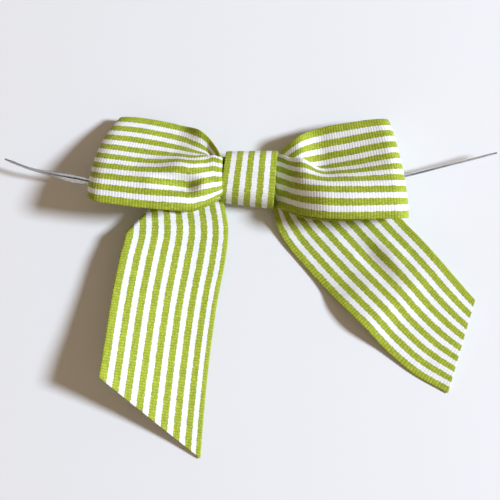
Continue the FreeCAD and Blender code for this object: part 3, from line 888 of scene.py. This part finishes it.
def film_piece(name, path, stand, narrow):
    """A flat strip along the path, turned about it by the angles in stand, its lips cut by narrow."""
    tangent, side_way, up_way = ways_round(path)
    wide = side_way * np.cos(stand)[:, None] + up_way * np.sin(stand)[:, None]
    thin = np.cross(wide, tangent)
    half = 0.5 * FILM_WIDTH
    lip = 0.5 * FILM_GAUGE
    sleeve = WIRE_RADIUS + SLEEVE_WALL
    section = [(-half, -lip), (-LIP_INNER, -lip), (-SLEEVE_HALF, -sleeve)]
    section += [(-a, b) for a, b in reversed(section)]
    section += [(-a, -b) for a, b in section]
    section = np.array(section)
    lips = np.abs(section[:, 0]) > 0.5 * half
    reach = section[None, :, :1] * np.where(lips[None, :, None], narrow[:, None, None], 1.0)
    points = path[:, None, :] + reach * wide[:, None, :] + section[None, :, 1:] * thin[:, None, :]
    return swept_piece(name, points, False)


def make_tie(name, metal, film):
    """One leg of the twist tie: the wire, bare at its very end, in its film."""
    route = np.array(TIE_LEGS[name])
    knots = chords(route)
    path = through(knots, route, np.linspace(0.0, knots[-1], WIRE_STEPS))
    wire = wire_piece(f"{name}_tie_core", path)
    wire.data.materials.append(metal)
    path = path[:-WIRE_BARE_STEPS]
    reach = np.abs(path[:, 0])
    stand = FILM_STANDS * smooth((reach - FILM_STANDS_FROM) / FILM_STANDS_RUN)
    stand -= TWIST_BACK * bell(reach, TWIST_AT, TWIST_REACH)
    narrow = 1.0 - LIP_CUT * smooth((reach - FILM_NARROWS[name]) / LIP_CUT_RUN)
    sleeve = film_piece(f"{name}_tie_sleeve", path, stand, narrow)
    sleeve.data.materials.append(film)
    for piece, kind in ((wire, "wire"), (sleeve, "film")):
        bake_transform(piece)
        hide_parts(f"{name}_tie_{kind}", f"middle_tie_{kind}")


# ---------------------------------------------------------------- stage, light and camera

# The camera looks down from the tails' side, ten degrees off the vertical. In metres and degrees.
CAMERA_DISTANCE = 0.42
CAMERA_ELEVATION = 80.0
CAMERA_TARGET = (0.0002, -0.0136, 0.0)
PICTURE_WIDTH = 0.1
SENSOR = 36.0

# A round lamp to the right, and a dim warm room that tints the shadows.
KEY_DISTANCE = 1.4
KEY_ELEVATION = 38.0
KEY_SIZE = 0.29
KEY_POWER = 30.0
KEY_COLOUR = (0.77, 0.86, 1.0)
FILL_COLOUR = (0.322, 0.244, 0.172)

FLOOR_HALF = 3000.0
FLOOR_COLOUR = (0.8, 0.8, 0.8)
FLOOR_ROUGHNESS = 0.9
FLOOR_SPECULAR = 0.1


def make_floor():
    corners = np.array([(-1.0, -1.0, 0.0), (1.0, -1.0, 0.0), (1.0, 1.0, 0.0), (-1.0, 1.0, 0.0)])
    floor = mesh_piece("floor", FLOOR_HALF * corners, [(0, 1, 2, 3)], False)
    material, tree, shader = new_material("pale_floor")
    shader.inputs["Base Color"].default_value = (*FLOOR_COLOUR, 1.0)
    shader.inputs["Roughness"].default_value = FLOOR_ROUGHNESS
    shader.inputs["Specular IOR Level"].default_value = FLOOR_SPECULAR
    floor.data.materials.append(material)


def make_lights():
    lamp = bpy.data.lights.new("key", "AREA")
    lamp.shape = "DISK"
    lamp.size = KEY_SIZE
    lamp.energy = KEY_POWER
    lamp.color = KEY_COLOUR
    key = placed("key", lamp)
    angle = math.radians(KEY_ELEVATION)
    key.location = (KEY_DISTANCE * math.cos(angle), CAMERA_TARGET[1], KEY_DISTANCE * math.sin(angle))
    key.rotation_euler = (0.0, 0.5 * math.pi - angle, 0.0)
    world = bpy.data.worlds.new("studio")
    world.use_nodes = True
    background = world.node_tree.nodes["Background"]
    background.inputs["Color"].default_value = (*FILL_COLOUR, 1.0)
    background.inputs["Strength"].default_value = 1.0
    bpy.context.scene.world = world
    bpy.context.scene.view_settings.view_transform = "Standard"


def make_camera():
    data = bpy.data.cameras.new("camera")
    data.sensor_width = SENSOR
    data.lens = SENSOR * CAMERA_DISTANCE / PICTURE_WIDTH
    camera = placed("camera", data)
    angle = math.radians(CAMERA_ELEVATION)
    back = CAMERA_DISTANCE * math.cos(angle)
    up = CAMERA_DISTANCE * math.sin(angle)
    camera.location = (CAMERA_TARGET[0], CAMERA_TARGET[1] - back, CAMERA_TARGET[2] + up)
    camera.rotation_euler = (0.5 * math.pi - angle, 0.0, 0.0)
    bpy.context.scene.camera = camera


make_camera()
make_floor()
make_lights()
ribbon = grosgrain_material()
metal = brushed_metal("tie_wire_steel", (0.42, 0.45, 0.48), 0.4)
film = film_material()
for side_name in SIDES:
    make_loop(side_name, ribbon)
    make_tail(side_name, ribbon)
    make_tie(side_name, metal, film)
make_band(ribbon)
thread = rough_speckled("gather_thread_cotton", (0.55, 0.58, 0.50), (0.85, 0.87, 0.80), 5000.0, 0.85)
glue = rough_speckled("hot_melt_glue", (0.55, 0.50, 0.38), (0.75, 0.70, 0.58), 800.0, 0.35)
for node, material in (("gather_thread", thread), ("glue_dot", glue)):
    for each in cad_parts[node].material_slots:
        each.material = material
